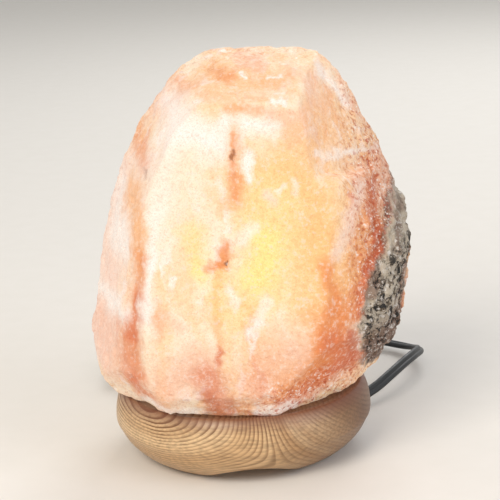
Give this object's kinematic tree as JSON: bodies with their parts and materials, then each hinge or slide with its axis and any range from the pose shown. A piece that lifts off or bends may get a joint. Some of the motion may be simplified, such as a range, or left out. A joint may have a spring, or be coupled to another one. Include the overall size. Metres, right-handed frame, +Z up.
{
  "type": "table lamp",
  "caption": "Hewn rock salt lamp on a turned wooden base, with a lift-out bulb holder, a bulb and a mains lead with a dial dimmer and a plug.",
  "frame": {"origin": "on the axis of the turned wooden base, at the level of the table that its feet stand on", "axes": "+Z up, +X to the right and +Y away from the picture's viewer"},
  "size_m": [0.1946, 0.2498, 0.2157],
  "materials": {
    "rock_salt": "rough hewn, lit from inside",
    "turned_wood": "satin oiled hardwood",
    "screw_steel": "zinc plated",
    "holder_plastic": "moulded, satin",
    "insulator_white": "moulded, matte",
    "contact_brass": "rolled",
    "wire_sheath": "soft, satin",
    "spring_steel": "bent strip",
    "lead_sheath": "extruded, satin",
    "relief_rubber": "moulded, satin",
    "tie_plastic": "flat band",
    "dimmer_plastic": "moulded, fine texture",
    "board_laminate": "phenolic paper board",
    "component_plastic": "moulded",
    "capacitor_film": "dipped",
    "dial_plastic": "ribbed edge",
    "shaft_metal": "turned",
    "plug_plastic": "moulded on the lead",
    "blade_brass": "stamped",
    "bulb_clear_glass": "clear, blown",
    "bulb_cap_metal": "rolled thread",
    "bulb_black_glass": "fused",
    "solder": "domed",
    "support_wire": "drawn",
    "filament_wire": "coiled, glowing"
  },
  "bodies": {
    "holder_and_lead": {"holder_cap": "holder_plastic", "holder_shell": "holder_plastic", "socket_insulator": "insulator_white", "socket_shell": "contact_brass", "centre_contact": "contact_brass", "terminal_screws": "contact_brass", "holder_wires": "wire_sheath", "spring_clip": "spring_steel", "holder_strain_relief": "relief_rubber", "lamp_lead": "lead_sheath", "dimmer_bottom_cover": "dimmer_plastic", "dimmer_top_cover": "dimmer_plastic", "dimmer_screws": "screw_steel", "dimmer_circuit_board": "board_laminate", "dimmer_potentiometer": "component_plastic", "dimmer_triac": "component_plastic", "dimmer_capacitor": "capacitor_film", "dimmer_strain_reliefs": "relief_rubber", "dimmer_lead": "lead_sheath", "mains_coil": "lead_sheath", "coil_tie": "tie_plastic", "plug_lead": "lead_sheath", "plug_strain_relief": "plug_plastic", "plug_body": "plug_plastic", "plug_live_blade": "blade_brass", "plug_neutral_blade": "blade_brass"},
    "lamp_body": {"salt_crystal": "rock_salt", "wood_base": "turned_wood", "base_screws": "screw_steel"},
    "bulb": {"bulb_glass": "bulb_clear_glass", "bulb_cap": "bulb_cap_metal", "bulb_insulator": "bulb_black_glass", "bulb_tip_contact": "solder", "bulb_stem": "bulb_clear_glass", "bulb_support_wires": "support_wire", "bulb_filament": "filament_wire"},
    "dial": {"dimmer_dial": "dial_plastic", "dimmer_shaft": "shaft_metal"}
  },
  "joints": [
    {"name": "lamp_lift", "type": "slide", "parent": "holder_and_lead", "child": "lamp_body", "axis": [0, 0, 1], "range_m": [0, 0.135]},
    {"name": "bulb_turn", "type": "hinge", "parent": "holder_and_lead", "child": "bulb", "pos_m": [0, 0, 0.066], "axis": [0, 0, 1], "range_deg": [0, 1080]},
    {"name": "dial_turn", "type": "hinge", "parent": "holder_and_lead", "child": "dial", "pos_m": [0.0322, 0.1609, 0.02], "axis": [0, 0, 1], "range_deg": [0, 270]}
  ]
}
